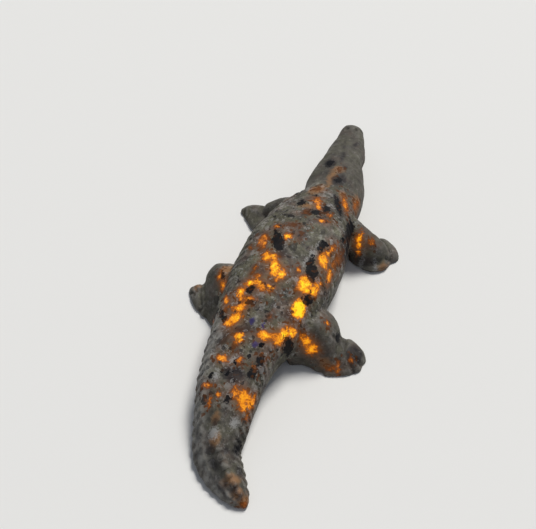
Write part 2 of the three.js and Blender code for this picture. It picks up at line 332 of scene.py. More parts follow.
for forward, off, height, *size in knobs.values():
    for which in (-1, 1):
        lofts.append(ball((*on_head(which * off, forward), height), size))
print("lofts with the knobs:", len(lofts))

# %% [markdown]
# ## One block
#
# The lofts run into each other, as shapes that are only stacked do. A stone has one skin. A boolean
# join would leave sharp seams between long thin faces. Voxel remeshing measures the whole heap on a
# grid of small cubes and draws one new skin of even squares round it, which also suits the fine
# carving that comes next, because its detail can go anywhere.

# %% Join the lofts and draw one skin
voxel = 0.31  # millimetres, fine enough for a tooth of the crest
heap_points = np.concatenate([grid.reshape(-1, 3) for grid in lofts])
heap_points[:, 2] = np.maximum(heap_points[:, 2], 0)  # the underside is ground flat


def grid_faces(grid, first):
    """The squares between neighbouring rings, with the last column joined to the first."""
    count, turns = grid.shape[:2]
    ring, turn = np.meshgrid(np.arange(count - 1), np.arange(turns), indexing="ij")
    after = (turn + 1) % turns
    here, ahead = ring * turns, (ring + 1) * turns
    corners = (here + turn, here + after, ahead + after, ahead + turn)
    return first + np.stack(corners, axis=-1).reshape(-1, 4)


starts = np.cumsum([0] + [grid.shape[0] * grid.shape[1] for grid in lofts])
heap_faces = np.concatenate([grid_faces(grid, first) for grid, first in zip(lofts, starts)])
heap_mesh = bpy.data.meshes.new("heap")
heap_mesh.from_pydata(heap_points, [], heap_faces)
heap = bpy.data.objects.new("heap", heap_mesh)
bpy.context.scene.collection.objects.link(heap)
remesh = heap.modifiers.new("one skin", "REMESH")
remesh.mode = "VOXEL"
remesh.voxel_size = voxel
block = bpy.data.meshes.new_from_object(heap.evaluated_get(bpy.context.evaluated_depsgraph_get()))
bpy.data.objects.remove(heap)
points = np.empty(len(block.vertices) * 3, np.float32)
block.vertices.foreach_get("co", points)
points = points.reshape(-1, 3).astype(float)
quads = np.empty(len(block.loops), np.int32)
block.loops.foreach_get("vertex_index", quads)
quads = quads.reshape(-1, 4)
bpy.data.meshes.remove(block)
print("one skin of", len(points), "points and", len(quads), "squares")

# %% [markdown]
# ## Polishing
#
# A diamond wheel and then felt with grit leave no sharp inside corners. The same is done to the mesh:
# every point moves a share of the way to the middle of its neighbours, many times over. The creases
# where the legs leave the trunk are worked longer than the rest.

# %% Soften the skin


def neighbours_mean(values):
    """The mean of the four neighbours' values at each point, summed over the squares' sides."""
    after = np.roll(quads, -1, axis=1).ravel()
    here = quads.ravel()
    ends = np.concatenate([here, after])
    others = np.concatenate([after, here])
    count = np.bincount(ends, minlength=len(values))
    sums = [np.bincount(ends, values[others, axis], len(values)) for axis in range(values.shape[1])]
    return np.stack(sums, axis=1) / count[:, None]


def soften(shape, passes, share):
    """Each pass moves a point its share of the way to its neighbours' mean."""
    for _ in range(passes):
        shape = shape + share * (neighbours_mean(shape) - shape)
    return shape


crease_reach = 2.6  # millimetres
# beside, ahead and above: where each leg leaves the trunk
creases = np.array([(7.5, 13, 10.5), (-7.8, 14.8, 9.5), (8.6, -13.4, 10), (-8.8, -11, 10)], float)
half_way = 0.5
wheel_passes, crease_passes = 6, 30
to_crease = np.linalg.norm(points[:, None, :] - creases, axis=2).min(axis=1)
crease_share = half_way * np.exp(-((to_crease / crease_reach) ** 2))[:, None]
points = soften(points, wheel_passes, half_way)
points = soften(points, crease_passes, crease_share)
points[:, 2] = np.maximum(points[:, 2], 0)
print("polished; height", round(points[:, 2].max(), 2), "mm")

# %% [markdown]
# ## Where a point lies on the animal
#
# The fine carving follows the body, not the room. So each point is given a place on the animal: how far
# it lies from the snout along the middle line, how far it leans off the spine, and whether it is on the
# body at all or out on a leg.

# %% Body coordinates
block_size = 10000  # points at a time, so that the table of distances stays small


def nearest_on_spine(shape):
    """For each point the nearest sample of the middle line in plan, found a block of points at a time."""
    found = np.empty(len(shape), int)
    for start in range(0, len(shape), block_size):
        gap = shape[start:start + block_size, None, :2] - spine
        found[start:start + block_size] = (gap ** 2).sum(axis=2).argmin(axis=1)
    return found


def lean_on_body(shape, near):
    """Angle off the spine in degrees, positive to the animal's right, and the size beside the ring's own.
    Both come from the ring's superellipse: size is (x^p + z^p)^(1/p), and the angle's sine is
    (x / size)^(p/2), with x and z as shares of the ring's half width and height, and p its power there."""
    ahead = np.gradient(spine, axis=0)[near]
    across = np.stack([-ahead[:, 1], ahead[:, 0]], axis=1)
    across /= np.linalg.norm(across, axis=1, keepdims=True)
    off = ((shape[:, :2] - spine[near]) * across).sum(axis=1)
    rise = shape[:, 2] - side[near]
    wide = np.abs(off) / half[near]
    high = np.where(rise > 0, rise / (top - side)[near], rise / (under - side)[near])
    left, right = dome_at(u)[near].T
    power = np.where(rise > 0, np.where(off > 0, right, left), belly_power)
    size = (wide ** power + high ** power) ** (1 / power)
    angle = np.degrees(np.arcsin(np.clip(wide / size, 0, 1) ** (power / 2)))
    angle = np.where(rise > 0, angle, 180 - angle)
    return angle * np.sign(off), size


near = nearest_on_spine(points)
run = spine_run[near]
place = u[near]
lean, girth = lean_on_body(points, near)
skin_girth, leg_girth = 1.07, 1.2  # up to the one a point is on the body, past the other on a leg
on_body = 1 - smoothstep(girth, skin_girth, leg_girth)
print("on the body:", round(on_body.mean() * 100), "percent of the skin")

# %% [markdown]
# ## Carving
#
# All the fine forms are heights added along the surface's own direction: the toothed crest of the tail,
# which fades to a worn ridge on the trunk, a dished top between the crests, the mouth line, the pits of
# the nostrils and eyes, and the slight waviness that a hand-held wheel leaves.

# %% Heights of the carving
tooth_pitch, spine_tooth_pitch = 1.9, 1.7  # millimetres from tooth to tooth
crest_height, ridge_height = 0.55, 0.26  # millimetres, on the tail and on the trunk
crest_lean = 44.0  # degrees off the spine, where the band of teeth begins
rope_end = 82.0  # and where it ends
tooth_skew = 0.024  # turns per degree: the teeth slant like the strands of a rope
rope_soft = 5  # degrees over which the band's edges fade
rope_floor = 0.15  # the share of the height that is left between two teeth
bead_share = 0.45  # a smooth bead runs along the band's upper edge
dish_depth, dish_width = 0.25, 22  # millimetres, degrees
spine_tooth_height, spine_tooth_width, spine_tooth_floor = 0.65, 18, 0.3  # millimetres, degrees, share
mouth_depth, mouth_rise, mouth_width = 0.4, 0.2, 0.35  # millimetres; the rise is above the widest line
mouth_lean = 60  # degrees off the spine, where the line may begin


def normals_of(shape):
    """Each square's normal is the cross product of its diagonals, and a point takes the sum of its
    squares' normals, brought to length one."""
    a, b, c, d = (shape[quads[:, k]] for k in range(4))
    flat = np.cross(c - a, d - b)
    total = np.stack([np.bincount(quads.ravel(), np.repeat(flat[:, axis], 4), len(shape))
                      for axis in range(3)], axis=1)
    return total / np.linalg.norm(total, axis=1, keepdims=True)


def bump(distance, width):
    """A soft hill: the bell curve exp(-(distance / width)^2)."""
    return np.exp(-((distance / width) ** 2))


def cell_noise(shape, cell, seed):
    """Soft noise between -1 and 1: random values on a grid of cells, blended with smoothstep weights."""
    low = shape.min(axis=0) - cell
    grid = (shape - low) / cell
    corner = grid.astype(int)
    w = grid - corner
    w = w * w * (3 - 2 * w)
    values = np.random.default_rng(seed).uniform(-1, 1, corner.max(axis=0) + 2)
    total = 0
    for dx in (0, 1):
        for dy in (0, 1):
            for dz in (0, 1):
                weight = (np.abs(1 - dx - w[:, 0]) * np.abs(1 - dy - w[:, 1]) * np.abs(1 - dz - w[:, 2]))
                total = total + weight * values[corner[:, 0] + dx, corner[:, 1] + dy, corner[:, 2] + dz]
    return total


def teeth(turns):
    """A saw that rises slowly and drops fast, once a turn, between 0 and 1."""
    part = turns - np.floor(turns)
    return part * (1 - smoothstep(part, 0.8, 1.0))


def between(value, start, end, soft):
    """1 from start to end, and 0 outside, with edges as wide as soft."""
    return smoothstep(value, start - soft, start + soft) * (1 - smoothstep(value, end - soft, end + soft))


# a place is counted in stations: half a station past the hips the tail begins
on_tail = smoothstep(place, station("hips") + 0.5, station("hips") + 2)
ridge_start = smoothstep(place, station("nape") + 0.5, station("nape") + 1.5)
ridge_end = 1 - smoothstep(place, last_station - 0.5, last_station)
steep = np.abs(lean)
twist = run / tooth_pitch - tooth_skew * (steep - crest_lean)
rope = between(steep, crest_lean, rope_end, rope_soft) * (rope_floor + (1 - rope_floor) * teeth(twist))
crest = bead_share * bump(steep - crest_lean, rope_soft) + rope
relief = crest * (ridge_height + (crest_height - ridge_height) * on_tail) * ridge_start * ridge_end * on_body
tail_end = smoothstep(place, station("bend") - 0.3, station("bend") + 0.5)
dish = -dish_depth * bump(lean, dish_width) * on_tail * (1 - tail_end)
tooth_rise = spine_tooth_floor + teeth(run / spine_tooth_pitch)
spine_teeth = spine_tooth_height * bump(lean, spine_tooth_width) * tooth_rise * tail_end * ridge_end
relief += (dish + spine_teeth) * on_body

mouth_end = 1 - smoothstep(place, station("cheeks"), station("cheeks") + 0.6)
mouth = -mouth_depth * bump(points[:, 2] - side[near] - mouth_rise, mouth_width) * mouth_end
relief += mouth * (steep > mouth_lean)
print("carved from", round(relief.min(), 2), "to", round(relief.max(), 2), "mm")

# %% Cuts and edges at the legs
# height, width, then places beside and ahead of the middle: cuts are negative, standing edges positive
strokes = {
    "cut round the front right arm": (-0.45, 0.45, [
        (12.9, 19.4), (14.6, 18.9), (16.2, 17.9), (17.3, 16.4), (17.5, 15.2)]),
    "rim of the front right paw": (0.25, 0.4, [(16.8, 13.4), (15.6, 12.2), (14.2, 11.5), (12.0, 11.2)]),
    "front right hole": (-0.5, 0.4, [(16.6, 14.8), (16.7, 14.9)]),
    "front left toe": (-0.3, 0.3, [(-20.1, 16.4), (-19.7, 15.2), (-19.4, 14.2)]),
    "front left edge": (0.18, 0.35, [(-19.3, 16.2), (-18.9, 15.2), (-18.6, 14.2)]),
    "cut beside the left thigh": (-0.5, 0.5, [
        (-18.9, -8.2), (-18.5, -10.0), (-17.7, -11.8), (-16.8, -13.4), (-15.9, -14.9)]),
    "left shoulder ridge": (0.3, 0.45, [(-6.0, 15.8), (-7.4, 13.8), (-8.6, 11.8)]),
    "second left shoulder ridge": (0.22, 0.4, [(-7.8, 12.6), (-9.2, 10.4), (-10.0, 8.6)]),
    "rear left toe": (-0.4, 0.35, [(-20.2, -10.0), (-19.3, -10.6), (-18.8, -11.4)]),
    "rear left second toe": (-0.25, 0.3, [(-20.6, -11.8), (-19.6, -11.8), (-18.9, -12.2)]),
    "cut beside the right thigh": (-0.5, 0.45, [(15.8, -9.0), (16.6, -11.4), (16.9, -13.6), (16.9, -15.8)]),
    "rear right hole": (-0.4, 0.35, [(14.2, -12.6), (14.5, -12.3)]),
    "rear right toe": (-0.5, 0.4, [(22.0, -13.6), (20.9, -13.5), (20.0, -13.2)]),
    "rear right second toe": (-0.3, 0.35, [(21.2, -16.4), (20.2, -15.6), (19.3, -15.0)]),
}


def to_path(path):
    """Plan distance from each point to the nearest piece of a path."""
    path = np.array(path)
    best = np.full(len(points), np.inf)
    for start, end in zip(path[:-1], path[1:]):
        way = end - start
        share = np.clip(((points[:, :2] - start) @ way) / (way @ way), 0, 1)[:, None]
        best = np.minimum(best, np.linalg.norm(points[:, :2] - start - share * way, axis=1))
    return best


facing_up = smoothstep(normals_of(points)[:, 2], 0.0, 0.3)
for height, width, path in strokes.values():
    relief += height * bump(to_path(path), width) * facing_up
print("strokes:", len(strokes))

# %% Waviness and pits
# height and width in millimetres, and the seed of the noise
waves = ((0.14, 4.5, 3), (0.11, 2.0, 4), (0.06, 0.9, 5))
waviness = sum(height * cell_noise(points, width, seed) for height, width, seed in waves)
above = smoothstep(points[:, 2], 0.2, 1.5)  # the foot of the body stays where it meets the ground
relief += waviness * above
points = points + normals_of(points) * relief[:, None]

# beside and ahead of the eyes, height, width and depth
pits = {"right eye": (2.6, 2.4, 10.6, 0.8, 0.45), "left eye": (-2.6, 2.4, 10.6, 0.8, 0.45),
        "right nostril": (1.2, 10.8, 8.7, 0.5, 0.5), "left nostril": (-1.2, 10.8, 8.7, 0.5, 0.5)}
for off, forward, height, width, depth in pits.values():
    centre = np.array([*on_head(off, forward), height])
    sunk = depth * bump(np.linalg.norm(points - centre, axis=1), width)
    points = points - normals_of(points) * sunk[:, None]
felt_share = 0.3
points = soften(points, 1, felt_share)
ground_gap = 0.12  # a point that is lower than this lies on the ground
points[:, 2] = np.where(points[:, 2] < ground_gap, 0, points[:, 2])
print("relief from", round(relief.min(), 2), "to", round(relief.max(), 2), "mm")

# %% [markdown]
# ## Minerals in their places
#
# Which grain of the rock lies where is chance, but it is what one knows this carving by. So the larger
# grains are set one by one, as blots given in plan: a place, a length, a width and a turn. A blot's value
# at a point is how deep the point lies inside its rim, in millimetres, so that the material can fray
# every rim by the same amount with noise. The values go into the mesh as attributes. Apart from the
# sodalite that glows there is black augite, dusky stone where augite lies just under the skin, pale
# feldspar, stone that iron has stained to rust, and a little blue sodalite that doesn't glow.
# Three of the blots are painted light and shade: two pale ones on the front right arm and paw, and one black
# one in the crease between the trunk and that arm.

# %% Glowing grains
# beside and ahead of the middle, half length, half width, turn from ahead to the right, heat
glowing = {
    "head": [
        (-2.5, 17.8, 0.9, 0.6, 40, 0.16), (6.3, 20.0, 1.4, 0.6, 0, 0.3), (-0.6, 26.9, 0.6, 0.4, 0, 0.1)],
    "neck and shoulders": [
        (3.9, 18.4, 1.4, 0.55, -27, 0.22), (4.9, 16.9, 1.7, 0.65, -27, 0.5),
        (-0.8, 13.6, 1.5, 1.0, -35, 0.42), (0.5, 11.6, 0.9, 0.5, -35, 0.75),
        (3.2, 10.9, 0.6, 0.5, 0, 0.55), (2.5, 8.1, 0.6, 0.6, 0, 0.65), (3.5, 8.9, 0.9, 0.35, 60, 0.35),
        (-1.4, 9.0, 0.9, 0.8, 0, 0.12)],
    "ribs": [
        (-5.4, 2.4, 0.7, 0.6, 0, 0.55), (-2.1, 0.5, 0.9, 0.85, 0, 0.8), (-2.3, 4.1, 1.2, 0.5, 80, 0.1),
        (0.4, 1.9, 0.6, 0.3, 0, 0.1), (-6.9, -1.9, 1.9, 1.1, -15, 0.3), (-7.0, -1.0, 0.7, 0.6, 0, 0.4),
        (-6.0, -2.9, 0.9, 0.35, -15, 0.45), (-8.8, -3.9, 0.6, 0.4, -40, 0.28),
        (7.2, 3.0, 2.2, 0.45, 17, 0.5), (6.7, 1.2, 0.7, 0.7, 0, 0.55), (6.6, -0.8, 1.6, 1.1, -20, 0.75),
        (7.4, -1.6, 0.9, 0.7, 0, 0.8), (8.8, -2.5, 1.8, 0.5, -12, 0.75), (8.9, 2.2, 2.6, 0.7, 0, 0.16)],
    "loins": [
        (-4.1, -5.9, 1.3, 0.9, -20, 0.65), (-2.8, -5.5, 1.0, 0.8, -35, 0.7),
        (-1.8, -7.3, 1.5, 0.9, -28, 0.8), (-0.9, -8.5, 1.5, 1.1, -28, 0.85),
        (0.4, -8.8, 1.1, 0.9, -15, 1.0), (0.1, -10.0, 0.8, 0.5, 0, 0.5),
        (3.2, -6.2, 0.55, 0.5, 0, 0.45), (5.6, -8.1, 1.9, 1.3, 8, 0.9), (6.3, -9.0, 0.9, 0.9, 0, 0.85),
        (7.7, -7.7, 1.7, 0.65, 10, 0.95), (4.9, -9.7, 0.8, 0.5, 30, 0.4),
        (6.5, -13.3, 1.9, 1.25, 0, 1.35)],
    "left hip": [
        (-5.2, -9.1, 0.9, 0.35, 10, 0.35), (-3.9, -10.7, 0.6, 0.4, 60, 0.45),
        (-2.8, -12.3, 1.7, 0.65, -70, 0.85), (-4.7, -12.7, 1.0, 0.8, 40, 0.85),
        (-0.4, -12.4, 0.9, 0.5, 80, 0.85), (-1.7, -13.0, 1.5, 0.5, 85, 0.6),
        (-5.9, -15.1, 0.9, 0.7, 0, 0.75), (-5.0, -16.6, 0.4, 0.3, 0, 0.7),
        (-3.3, -16.2, 0.4, 0.3, 0, 0.7), (-5.5, -14.3, 1.3, 0.5, -10, 0.55),
        (-5.7, -15.5, 0.7, 0.7, 0, 0.85), (-3.2, -16.1, 1.2, 0.4, 85, 0.6),
        (-3.7, -17.2, 0.7, 0.6, 0, 0.55), (-4.5, -18.4, 1.5, 0.7, 65, 0.75),
        (-8.2, -17.2, 1.2, 0.5, -40, 0.65), (-7.4, -19.0, 0.8, 0.5, -30, 0.25),
        (-4.3, -20.7, 1.5, 1.0, 30, 0.8), (-5.3, -22.0, 0.9, 0.8, 30, 0.7)],
    "right hip": [
        (6.9, -18.0, 1.3, 0.8, 50, 0.9), (5.9, -19.2, 1.5, 0.9, 25, 0.9),
        (5.5, -20.9, 1.2, 0.6, 20, 0.85), (4.4, -21.1, 1.1, 0.8, 70, 0.45),
        (2.7, -21.9, 1.2, 0.9, 70, 0.75), (2.1, -17.9, 0.45, 0.25, 0, 0.4),
        (8.7, -16.3, 0.6, 0.4, 80, 0.5), (9.7, -16.5, 0.9, 0.8, 60, 0.75),
        (11.0, -16.6, 1.3, 0.9, 70, 0.65), (12.2, -11.6, 0.5, 0.4, 25, 0.6)],
    "legs": [
        (-13.6, -9.4, 1.1, 0.6, -20, 0.4), (-11.9, -11.2, 1.4, 0.65, -30, 0.5),
        (17.1, -16.6, 1.1, 0.35, -20, 0.5), (19.0, -14.3, 0.6, 0.4, 0, 0.35),
        (15.6, -17.2, 0.9, 0.4, 80, 0.25), (10.2, 12.8, 0.45, 1.7, 90, 0.75),
        (10.0, 13.0, 0.9, 0.8, 0, 0.35), (12.6, 14.2, 0.9, 0.6, 0, 0.36)],
    "tail root": [
        (-1.8, -24.2, 1.0, 0.8, 0, 0.9), (-2.0, -26.0, 1.3, 0.4, 0, 0.12),
        (-3.0, -29.3, 1.1, 0.7, 80, 0.65), (0.2, -28.3, 0.6, 0.5, 0, 0.55),
        (3.5, -28.5, 0.5, 0.25, -40, 0.75), (3.5, -25.5, 0.4, 0.25, 0, 0.6),
        (4.6, -25.7, 0.7, 0.2, 0, 0.35)],
    "tail": [
        (4.3, -34.9, 1.9, 1.4, -40, 0.55), (2.2, -34.4, 1.1, 0.7, -20, 0.5),
        (5.6, -34.3, 1.5, 0.6, 0, 0.5), (4.7, -36.0, 0.9, 0.7, 0, 0.5),
        (-3.5, -34.9, 1.1, 0.4, 70, 0.45), (-0.6, -36.0, 0.7, 0.4, 0, 0.45),
        (-1.9, -37.7, 0.9, 0.4, -10, 0.5), (5.9, -36.9, 0.6, 0.3, 0, 0.4),
        (12.0, -51.2, 0.8, 0.5, 30, 0.26)],
}
print("glowing grains:", sum(len(group) for group in glowing.values()))

# %% Grains that don't glow
# the same without heat, from the snout back
other_grains = {
    "black": [
        (-3.5, 28.6, 1.1, 0.8, 0), (0.6, 23.3, 0.9, 0.8, 0), (3.4, 15.6, 2.6, 0.6, -33),
        (-1.65, 15.5, 0.35, 0.3, 0), (2.1, 12.3, 1.3, 0.7, -20), (-3.6, 11.7, 1.0, 0.7, 0),
        # the blot at (8.0, 11.6) is painted shade in the crease between the trunk and the front right arm
        (8.0, 11.6, 3.4, 1.1, -10), (0.4, 9.8, 1.6, 0.8, 75), (8.9, 8.4, 2.4, 0.7, -8),
        (5.1, 1.5, 1.3, 0.6, -10), (-5.0, 0.9, 0.9, 0.4, -30), (-3.5, -1.5, 2.5, 1.15, -27),
        (4.7, -2.9, 1.6, 0.6, -5), (5.6, -4.8, 1.5, 1.3, -20), (6.3, -6.3, 0.7, 0.6, 0),
        (-12.7, -9.7, 0.9, 0.35, -30), (7.3, -10.5, 1.3, 0.85, 50), (14.9, -11.0, 1.0, 0.35, 0),
        (-4.0, -14.1, 1.0, 0.8, 30), (-2.6, -16.7, 0.9, 0.4, 70), (7.5, -19.9, 1.2, 1.6, 20),
        (-7.6, -20.3, 1.4, 0.5, -38), (7.0, -20.7, 0.7, 0.7, 0), (3.9, -26.5, 1.1, 0.8, 0),
        (3.6, -29.7, 1.2, 0.8, 0), (-3.8, -33.3, 0.6, 0.4, 0), (1.4, -36.4, 0.7, 0.5, 0),
        (6.3, -42.6, 1.0, 0.4, -10)],
    "pale": [
        # the blots at (15.0, 12.0) and (11.6, 11.5) are painted light: a highlight on the front right paw's
        # rim and light on the shaded underside of that arm
        (2.2, 13.8, 0.8, 0.4, 30), (15.0, 12.0, 0.35, 1.6, 65), (11.6, 11.5, 0.5, 1.8, 90),
        (4.6, 1.5, 0.9, 0.5, 0), (4.3, -1.2, 1.2, 0.7, 0), (3.8, -3.8, 1.3, 0.4, 0),
        (-1.0, -28.6, 1.5, 0.4, 25), (-2.8, -32.8, 1.1, 0.7, 0), (4.3, -39.3, 1.0, 0.8, 0),
        (1.6, -42.8, 1.2, 1.0, 0)],
    "dusky": [
        (-1.0, 39.5, 1.4, 0.4, 10), (-3.0, 36.5, 1.0, 0.4, -20), (-1.7, 32.4, 2.0, 0.5, -8),
        (-3.5, 28.6, 1.7, 1.4, 0), (0.4, 28.3, 0.6, 0.5, 0), (0.9, 25.2, 0.9, 0.7, 0),
        (0.7, 23.4, 2.0, 1.7, 0), (3.4, 15.8, 3.2, 0.9, -33), (9.0, 7.4, 3.8, 1.5, -5),
        # the blot at (19.2, -12.6) darkens the top of the rear right paw
        (4.0, 5.4, 0.8, 0.5, 0), (-1.6, -3.8, 1.5, 1.0, -27), (19.2, -12.6, 2.2, 1.8, 0),
        (6.2, -15.2, 2.1, 0.9, 75), (-2.2, -22.8, 1.6, 0.5, 70), (-4.6, -25.4, 2.0, 0.8, 15),
        (4.4, -27.9, 1.3, 0.9, 0), (0.3, -31.4, 2.4, 1.5, 80), (1.0, -41.0, 0.8, 0.5, 0),
        (6.3, -42.8, 1.9, 0.9, -10), (-2.0, -43.0, 0.7, 0.5, 0), (4.9, -44.3, 0.8, 0.6, 0),
        (2.2, -45.6, 1.1, 0.9, 60), (8.8, -46.4, 1.1, 0.6, -40), (-0.6, -46.6, 0.8, 0.5, 0),
        (3.8, -47.6, 1.2, 0.8, -60), (0.9, -48.7, 0.8, 0.5, 0), (5.0, -49.4, 0.8, 0.5, -60),
        (7.4, -49.7, 0.6, 0.3, 0), (9.4, -50.0, 0.6, 0.3, 0), (10.9, -50.4, 0.6, 0.3, 0),
        (6.9, -50.6, 0.7, 0.4, -60)],
    "rust": [
        (-0.8, 27.0, 1.3, 0.9, 50), (-1.2, 24.6, 1.6, 0.7, -20), (-1.2, 22.7, 1.7, 0.6, -15),
        (6.3, 20.9, 1.9, 1.1, 0), (-0.8, 20.0, 0.7, 0.5, 0), (3.6, 18.8, 1.4, 0.8, -27),
        (-2.5, 18.0, 2.1, 1.4, 20), (16.6, 13.0, 1.2, 0.5, 40), (-2.4, 11.2, 1.4, 0.6, 80),
        (-12.8, -8.0, 1.8, 1.4, 0), (-19.4, -10.0, 0.8, 0.6, 0), (14.2, -16.9, 1.3, 0.7, 80),
        (-4.4, -25.2, 2.0, 0.4, 15), (0.8, -40.2, 0.9, 0.6, 0), (2.4, -44.0, 1.3, 0.8, 0),
        (8.3, -48.7, 1.9, 0.9, 50), (10.2, -50.3, 1.2, 0.8, 45), (11.8, -51.0, 1.4, 0.8, 30)],
    "blue": [
        (-3.7, -14.0, 0.5, 0.4, 0), (1.7, -20.4, 0.5, 0.35, 0), (-0.8, -20.4, 0.5, 0.35, 0),
        (1.8, -24.2, 0.6, 0.5, 0)],
}
print({name: len(blots) for name, blots in other_grains.items()})

# %% How deep a point lies in a grain
rim_facing = 0.15  # upward share of the normal, above which a place is seen from above
slope_share = 0.5


def depth_inside(blot):
    """How deep each point lies inside an oval blot, in millimetres: one less the point's distance from
    the middle, as a share of the oval's own radius that way, times the smaller radius. A step down the
    side of the form counts half, so a blot on a slope keeps its length."""
    x, y, length, width, turn = blot
    angle = np.radians(turn)
    dx, dy = points[:, 0] - x, points[:, 1] - y
    ahead = (dx * np.sin(angle) + dy * np.cos(angle)) / length
    beside = (dx * np.cos(angle) - dy * np.sin(angle)) / width
    level = points[seen_from_above[np.argmin((dx * dx + dy * dy)[seen_from_above])], 2]
    down = slope_share * (points[:, 2] - level) / width
    return (1 - np.sqrt(ahead ** 2 + beside ** 2 + down ** 2)) * min(length, width)


far_away = -9.0  # millimetres outside any grain
skin_normals = normals_of(points)
seen_from_above = np.flatnonzero(skin_normals[:, 2] > rim_facing)
glow = np.full(len(points), far_away)
heat = np.zeros(len(points))


def add_glow(depth, hot):
    """Marks the points of one glowing grain with their depth in it and its heat. The heat is full from
    0.35 mm inside the rim, and reaches 0.9 mm past it, as far as noise can push the rim."""
    glow[:] = np.maximum(glow, depth)
    heat[:] = np.maximum(heat, hot * smoothstep(depth, -0.9, 0.35))


for group in glowing.values():
    for *blot, hot in group:
        add_glow(depth_inside(blot), hot)
grains = {name: np.max([depth_inside(blot) for blot in blots], axis=0)
          for name, blots in other_grains.items()}
print("points in a glowing grain:", round((glow > 0).mean() * 100, 1), "percent")

# %% [markdown]
# ## The sides that the photograph hides
#
# A photograph shows one side of a stone. The far side could be left plain, but the rock doesn't stop
# there, so it gets grains of the same kinds and sizes, strewn by a generator with a fixed seed. The
# stone is also a little clear, so light from a glowing grain spreads in it and comes out as a dim halo.
# That spreading is worked out over the skin as heat would flow: each point takes on the mean of its
# neighbours, again and again.

# %% Grains on the hidden sides
azimuth, elevation = np.radians(24.5), np.radians(52)  # of the camera, off the tail and above the ground
to_camera = np.array([
    np.sin(azimuth) * np.cos(elevation), -np.cos(azimuth) * np.cos(elevation), np.sin(elevation)])
foot, glow_foot = 0.5, 2.5  # millimetres above the ground, below which no grain is set
hidden = (skin_normals @ to_camera < 0) & (points[:, 2] > foot)
on_trunk = hidden & (on_body > 0.5) & (place > station("neck")) & (place < station("middle tail"))
well_hidden = on_trunk & (skin_normals @ to_camera < -0.1) & (points[:, 2] > glow_foot)
longest_stretch = 1.7  # a grain is up to this many times as long as it is wide
glow_count, black_count, dusky_count = 24, 24, 30
halo_passes = 60
chance = np.random.default_rng(11)


def random_grain(where, smallest, largest):
    """How deep each point lies inside a grain of a random size and length, set round a random point: the
    grain's radius less the distance from its middle, with steps forward counted short."""
    centre = points[chance.choice(np.flatnonzero(where))]
    stretch = np.array([1, chance.uniform(1, longest_stretch), 1])
    return chance.uniform(smallest, largest) - np.linalg.norm((points - centre) / stretch, axis=1)


for _ in range(glow_count):
    add_glow(random_grain(well_hidden, 0.3, 1.2), chance.uniform(0.15, 0.6))
for _ in range(black_count):
    grains["black"] = np.maximum(grains["black"], random_grain(on_trunk, 0.4, 1.2))
for _ in range(dusky_count):
    grains["dusky"] = np.maximum(grains["dusky"], random_grain(hidden, 0.4, 1.3))
lit = np.minimum(heat, 1) * smoothstep(glow, -0.2, 0.3)
haze = soften(lit[:, None], halo_passes, half_way)[:, 0]
print("hidden points:", round(hidden.mean() * 100), "percent; brightest halo:", round(haze.max(), 2))

# %% [markdown]
# ## Wear, and painted light and shade
#
# Fingers and felt rub a carving unevenly. Its standing edges go pale, as wear and as a painted
# highlight, and its cuts are darkened with painted shade, so the skin needs to know which is which. A point
# that stands proud of its smoothed neighbourhood is on an edge, and one that lies under it is in a cut. The
# head, the legs and the tail are also calmer in colour than the trunk, and painted light makes the tail's
# left band of teeth paler than the rest.

# %% Edges, calm stone and painted light on the left teeth
edge = ((points - soften(points, wheel_passes, half_way)) * skin_normals).sum(axis=1)
calm_head, calm_tail = 1.3, 0.95  # the legs are 1
behind_head = smoothstep(place, station("nape") - 0.5, station("neck") + 0.5)
calm = np.maximum(1 - on_body, calm_head * (1 - behind_head))
calm = np.maximum(calm, calm_tail * smoothstep(place, station("upper tail"), station("middle tail") + 0.5))
worn_lean, worn_width = -58, 24  # degrees off the spine; the left is negative
tip_light_share = 0.4  # the share of the painted light that is left at the tip
# painted light: a paler band on the left of the tail's teeth, fading towards the tip
worn = bump(lean - worn_lean, worn_width) * on_body
worn = worn * smoothstep(place, station("hips"), station("tail root"))
worn = worn * (1 - (1 - tip_light_share) * smoothstep(place, station("lower tail"), last_station))
print("edge heights in micrometres:", np.round(np.percentile(edge, (2, 10, 50, 90, 98)) * 1000))

# %% [markdown]
# ## The finished piece
#
# The points move from the carver's frame onto the solid, and millimetres become metres.

# %% Mesh and attributes
low, high = points.min(axis=0), points.max(axis=0)
shift = np.array([-0.3, 2.57, 0]) * millimetre  # the solid's frame has its zero under the middle of its box
mesh = bpy.data.meshes.new("carved_crocodile")
mesh.from_pydata(points * millimetre + shift, [], quads)
mesh.polygons.foreach_set("use_smooth", np.ones(len(quads), bool))
attributes = {
    "glow": glow, "hotness": heat, "haze": haze, "edge": edge, "calm": calm, "worn": worn, **grains}
for name, values in attributes.items():
    mesh.attributes.new(name, "FLOAT", "POINT").data.foreach_set("value", values.astype(np.float32))
carving = bpy.data.objects.new("carved_crocodile", mesh)
bpy.context.scene.collection.objects.link(carving)
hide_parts("crocodile")
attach(carving, "root")
print("box", [round(v, 2) for v in low], [round(v, 2) for v in high], "shift in mm", shift / millimetre)

# %% [markdown]
# ## Soft-polished syenite that glows
#
# Syenite is a rock of interlocked feldspar grains, grey with a cast of olive, with needles and blots of
# black augite, pale cloudy grains, and here sodalite, which glows orange. A soft polish leaves such a
# stone nearly matt: it has a broad dull sheen and no mirror spots. A photograph could be wrapped round
# the shape, but it would hold one light and one side only. So the rock is built from noise whose grain
# sizes are real ones, and the attributes above say where the grains are that one remembers.

# %% A helper for the nodes
stone = bpy.data.materials.new("soft_polished_fluorescent_syenite")
stone.use_nodes = True
rock = stone.node_tree
shader = rock.nodes["Principled BSDF"]
